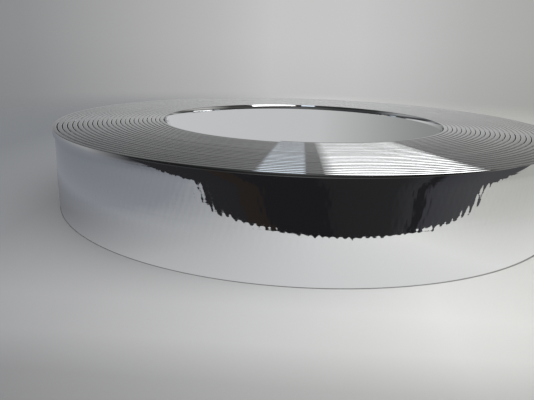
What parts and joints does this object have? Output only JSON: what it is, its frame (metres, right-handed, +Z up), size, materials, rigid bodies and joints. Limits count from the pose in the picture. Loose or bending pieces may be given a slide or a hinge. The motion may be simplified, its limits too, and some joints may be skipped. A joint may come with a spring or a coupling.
{
  "type": "aluminum trim cap coil",
  "caption": "Thin mirror-finish aluminium strip with a rounded cap along its upper edge, wound flat into a ring around a clear bore; edge trim for sign letters.",
  "frame": {"origin": "on the floor plane, under the middle of the coil", "axes": "+Z up along the coil's axis, from the plain edges it lies on to the caps; -Y faces the front of the view it was modelled from"},
  "size_m": [0.4746, 0.4746, 0.07],
  "materials": {
    "mirror_aluminium": "mirror polished, with fine ripples across the strip"
  },
  "bodies": {
    "root": {"trim_coil": "mirror_aluminium"}
  },
  "joints": []
}
